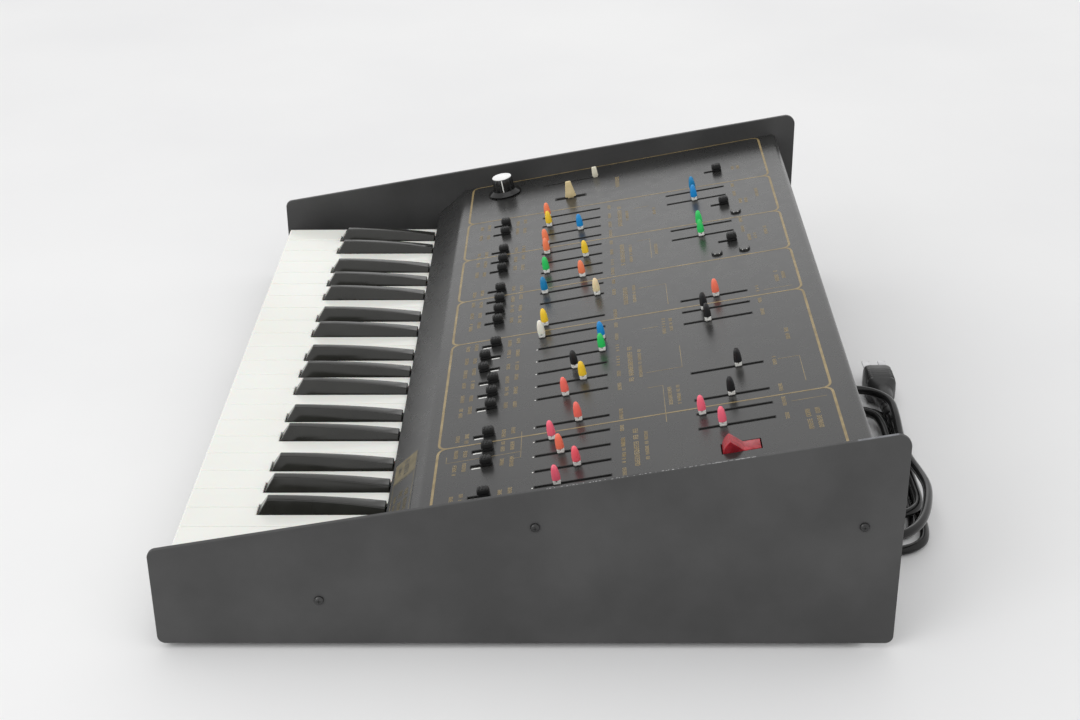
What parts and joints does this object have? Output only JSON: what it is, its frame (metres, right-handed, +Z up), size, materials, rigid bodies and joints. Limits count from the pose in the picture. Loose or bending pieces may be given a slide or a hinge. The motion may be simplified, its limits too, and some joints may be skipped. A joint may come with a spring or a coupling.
{
  "type": "analogue keyboard synthesizer",
  "caption": "Tabletop analogue synthesizer: a piano-style keyboard in a black steel case under a sloping panel of coloured slide controls, with a mains lead.",
  "frame": {"origin": "on the table under the middle of the case", "axes": "+X to the player's right along the keyboard, +Y away from the player towards the rear sockets, +Z up"},
  "size_m": [0.5808, 0.5098, 0.1501],
  "materials": {
    "case_paint": "fine textured satin black paint over sheet steel",
    "panel_paint": "fine textured satin black paint, silk-screened in gold",
    "cheek_plastic": "matt black",
    "screw_black": "black oxide steel",
    "foot_rubber": "matt rubber",
    "jack_metal": "nickel plate",
    "black_plastic": "moulded matt black",
    "plated_steel": "bright zinc plate",
    "felt": "red felt",
    "board_green": "solder-masked laminate",
    "white_key": "glossy moulded white",
    "black_key": "glossy moulded black",
    "cap_pink": "satin moulded pink",
    "cap_red": "satin moulded red",
    "cap_orange": "satin moulded orange",
    "cap_yellow": "satin moulded yellow",
    "cap_green": "satin moulded green",
    "cap_teal": "satin moulded teal",
    "cap_blue": "satin moulded blue",
    "cap_black": "satin moulded black",
    "lever_white": "white moulded",
    "lever_cream": "aged cream moulded",
    "switch_black": "matt black moulded",
    "knob_black": "black moulded with a bright disc",
    "rocker_red": "translucent red",
    "transformer_steel": "varnished laminations",
    "cord_black": "smooth black PVC"
  },
  "bodies": {
    "case": {"base_pan": "case_paint", "left_side_panel": "case_paint", "right_side_panel": "case_paint", "side_screws": "screw_black", "rubber_feet": "foot_rubber", "control_panel": "panel_paint", "rear_panel": "case_paint", "end_cheeks": "cheek_plastic", "rear_jacks": "jack_metal", "fuse_holder": "black_plastic", "key_bed": "plated_steel", "key_felt": "felt", "key_springs": "plated_steel", "key_contact_board": "board_green", "slider_tracks": "plated_steel", "switch_bodies": "plated_steel", "pitch_pot": "plated_steel", "power_switch": "black_plastic", "control_board": "board_green", "main_board": "board_green", "supply_board": "board_green", "power_transformer": "transformer_steel", "cord_gland": "black_plastic", "cord_lead": "cord_black", "cord_hank": "cord_black", "mains_plug": "cord_black"},
    "keys_c": {"keys_c": "white_key"},
    "keys_c_sharp": {"keys_c_sharp": "black_key"},
    "keys_d": {"keys_d": "white_key"},
    "keys_d_sharp": {"keys_d_sharp": "black_key"},
    "keys_e": {"keys_e": "white_key"},
    "keys_f": {"keys_f": "white_key"},
    "keys_f_sharp": {"keys_f_sharp": "black_key"},
    "keys_g": {"keys_g": "white_key"},
    "keys_g_sharp": {"keys_g_sharp": "black_key"},
    "keys_a": {"keys_a": "white_key"},
    "keys_a_sharp": {"keys_a_sharp": "black_key"},
    "keys_b": {"keys_b": "white_key"},
    "sliders_low_1_2": {"sliders_low_1_2": "cap_red"},
    "sliders_low_3_6_8": {"sliders_low_3_6_8": "cap_yellow"},
    "sliders_low_4_5": {"sliders_low_4_5": "cap_pink"},
    "sliders_low_7_9": {"sliders_low_7_9": "cap_teal"},
    "sliders_low_11_12": {"sliders_low_11_12": "cap_yellow"},
    "sliders_low_10_13_14": {"sliders_low_10_13_14": "cap_green"},
    "sliders_low_15_16": {"sliders_low_15_16": "cap_black"},
    "sliders_low_17_20": {"sliders_low_17_20": "cap_red"},
    "sliders_low_18_21": {"sliders_low_18_21": "cap_orange"},
    "sliders_low_19_22": {"sliders_low_19_22": "cap_pink"},
    "sliders_high_1_2": {"sliders_high_1_2": "cap_blue"},
    "sliders_high_3_4": {"sliders_high_3_4": "cap_green"},
    "sliders_high_5_9": {"sliders_high_5_9": "cap_pink"},
    "sliders_high_6_7_11": {"sliders_high_6_7_11": "cap_black"},
    "slider_high_8": {"slider_high_8": "cap_black"},
    "slider_high_10": {"slider_high_10": "cap_pink"},
    "glide_slider": {"glide_slider": "lever_white"},
    "switches_back": {"switches_back": "switch_black"},
    "switches_front": {"switches_front": "switch_black"},
    "transpose_lever": {"transpose_lever": "lever_cream"},
    "pitch_knob": {"pitch_knob": "knob_black"},
    "power_rocker": {"power_rocker": "rocker_red"}
  },
  "joints": [
    {"name": "keys_c_press", "type": "hinge", "parent": "case", "child": "keys_c", "pos_m": [0, -0.02775, 0.0485], "axis": [1, 0, 0], "range_deg": [0, 3], "stiffness_Nm_per_rad": 1.6, "springref_deg": -5.73},
    {"name": "keys_c_sharp_press", "type": "hinge", "parent": "case", "child": "keys_c_sharp", "pos_m": [0, -0.02775, 0.0485], "axis": [1, 0, 0], "range_deg": [0, 3], "stiffness_Nm_per_rad": 1.6, "springref_deg": -5.73},
    {"name": "keys_d_press", "type": "hinge", "parent": "case", "child": "keys_d", "pos_m": [0, -0.02775, 0.0485], "axis": [1, 0, 0], "range_deg": [0, 3], "stiffness_Nm_per_rad": 1.6, "springref_deg": -5.73},
    {"name": "keys_d_sharp_press", "type": "hinge", "parent": "case", "child": "keys_d_sharp", "pos_m": [0, -0.02775, 0.0485], "axis": [1, 0, 0], "range_deg": [0, 3], "stiffness_Nm_per_rad": 1.6, "springref_deg": -5.73},
    {"name": "keys_e_press", "type": "hinge", "parent": "case", "child": "keys_e", "pos_m": [0, -0.02775, 0.0485], "axis": [1, 0, 0], "range_deg": [0, 3], "stiffness_Nm_per_rad": 1.6, "springref_deg": -5.73},
    {"name": "keys_f_press", "type": "hinge", "parent": "case", "child": "keys_f", "pos_m": [0, -0.02775, 0.0485], "axis": [1, 0, 0], "range_deg": [0, 3], "stiffness_Nm_per_rad": 1.6, "springref_deg": -5.73},
    {"name": "keys_f_sharp_press", "type": "hinge", "parent": "case", "child": "keys_f_sharp", "pos_m": [0, -0.02775, 0.0485], "axis": [1, 0, 0], "range_deg": [0, 3], "stiffness_Nm_per_rad": 1.6, "springref_deg": -5.73},
    {"name": "keys_g_press", "type": "hinge", "parent": "case", "child": "keys_g", "pos_m": [0, -0.02775, 0.0485], "axis": [1, 0, 0], "range_deg": [0, 3], "stiffness_Nm_per_rad": 1.6, "springref_deg": -5.73},
    {"name": "keys_g_sharp_press", "type": "hinge", "parent": "case", "child": "keys_g_sharp", "pos_m": [0, -0.02775, 0.0485], "axis": [1, 0, 0], "range_deg": [0, 3], "stiffness_Nm_per_rad": 1.6, "springref_deg": -5.73},
    {"name": "keys_a_press", "type": "hinge", "parent": "case", "child": "keys_a", "pos_m": [0, -0.02775, 0.0485], "axis": [1, 0, 0], "range_deg": [0, 3], "stiffness_Nm_per_rad": 1.6, "springref_deg": -5.73},
    {"name": "keys_a_sharp_press", "type": "hinge", "parent": "case", "child": "keys_a_sharp", "pos_m": [0, -0.02775, 0.0485], "axis": [1, 0, 0], "range_deg": [0, 3], "stiffness_Nm_per_rad": 1.6, "springref_deg": -5.73},
    {"name": "keys_b_press", "type": "hinge", "parent": "case", "child": "keys_b", "pos_m": [0, -0.02775, 0.0485], "axis": [1, 0, 0], "range_deg": [0, 3], "stiffness_Nm_per_rad": 1.6, "springref_deg": -5.73},
    {"name": "sliders_low_1_2_slide", "type": "slide", "parent": "case", "child": "sliders_low_1_2", "axis": [0, 0.9826, 0.1857], "range_m": [-0.00217, 0.03984]},
    {"name": "sliders_low_3_6_8_slide", "type": "slide", "parent": "case", "child": "sliders_low_3_6_8", "axis": [0, 0.9826, 0.1857], "range_m": [-0.02944, 0.00996]},
    {"name": "sliders_low_4_5_slide", "type": "slide", "parent": "case", "child": "sliders_low_4_5", "axis": [0, 0.9826, 0.1857], "range_m": [-0.0013, 0.04114]},
    {"name": "sliders_low_7_9_slide", "type": "slide", "parent": "case", "child": "sliders_low_7_9", "axis": [0, 0.9826, 0.1857], "range_m": [-0.0013, 0.04114]},
    {"name": "sliders_low_11_12_slide", "type": "slide", "parent": "case", "child": "sliders_low_11_12", "axis": [0, 0.9826, 0.1857], "range_m": [0, 0.04114]},
    {"name": "sliders_low_10_13_14_slide", "type": "slide", "parent": "case", "child": "sliders_low_10_13_14", "axis": [0, 0.9826, 0.1857], "range_m": [-0.04114, 0]},
    {"name": "sliders_low_15_16_slide", "type": "slide", "parent": "case", "child": "sliders_low_15_16", "axis": [0, 0.9826, 0.1857], "range_m": [-0.02382, 0.01386]},
    {"name": "sliders_low_17_20_slide", "type": "slide", "parent": "case", "child": "sliders_low_17_20", "axis": [0, 0.9826, 0.1857], "range_m": [-0.01429, 0.02598]},
    {"name": "sliders_low_18_21_slide", "type": "slide", "parent": "case", "child": "sliders_low_18_21", "axis": [0, 0.9826, 0.1857], "range_m": [-0.02468, 0.01732]},
    {"name": "sliders_low_19_22_slide", "type": "slide", "parent": "case", "child": "sliders_low_19_22", "axis": [0, 0.9826, 0.1857], "range_m": [-0.00866, 0.03118]},
    {"name": "sliders_high_1_2_slide", "type": "slide", "parent": "case", "child": "sliders_high_1_2", "axis": [0, 0.9826, 0.1857], "range_m": [-0.02035, 0.02295]},
    {"name": "sliders_high_3_4_slide", "type": "slide", "parent": "case", "child": "sliders_high_3_4", "axis": [0, 0.9826, 0.1857], "range_m": [-0.02078, 0.02252]},
    {"name": "sliders_high_5_9_slide", "type": "slide", "parent": "case", "child": "sliders_high_5_9", "axis": [0, 0.9826, 0.1857], "range_m": [-0.02165, 0.01992]},
    {"name": "sliders_high_6_7_11_slide", "type": "slide", "parent": "case", "child": "sliders_high_6_7_11", "axis": [0, 0.9826, 0.1857], "range_m": [-0.01299, 0.02858]},
    {"name": "slider_high_8_slide", "type": "slide", "parent": "case", "child": "slider_high_8", "axis": [0, 0.9826, 0.1857], "range_m": [-0.02944, 0.01386]},
    {"name": "slider_high_10_slide", "type": "slide", "parent": "case", "child": "slider_high_10", "axis": [0, 0.9826, 0.1857], "range_m": [-0.0013, 0.042]},
    {"name": "glide_slider_slide", "type": "slide", "parent": "case", "child": "glide_slider", "axis": [0, 0.9826, 0.1857], "range_m": [-0.0433, 0]},
    {"name": "switches_back_slide", "type": "slide", "parent": "case", "child": "switches_back", "axis": [0, 0.9826, 0.1857], "range_m": [-0.0056, 0]},
    {"name": "switches_front_slide", "type": "slide", "parent": "case", "child": "switches_front", "axis": [0, 0.9826, 0.1857], "range_m": [0, 0.0056]},
    {"name": "transpose_lever_slide", "type": "slide", "parent": "case", "child": "transpose_lever", "axis": [0, 0.9826, 0.1857], "range_m": [-0.0075, 0.0075]},
    {"name": "pitch_knob_turn", "type": "hinge", "parent": "case", "child": "pitch_knob", "pos_m": [-0.2599, -0.02775, 0.08866], "axis": [0, -0.1857, 0.9826], "range_deg": [-140, 140]},
    {"name": "power_rocker_turn", "type": "hinge", "parent": "case", "child": "power_rocker", "pos_m": [0.2455, 0.13336, 0.11605], "axis": [1, 0, 0], "range_deg": [0, 44]}
  ]
}
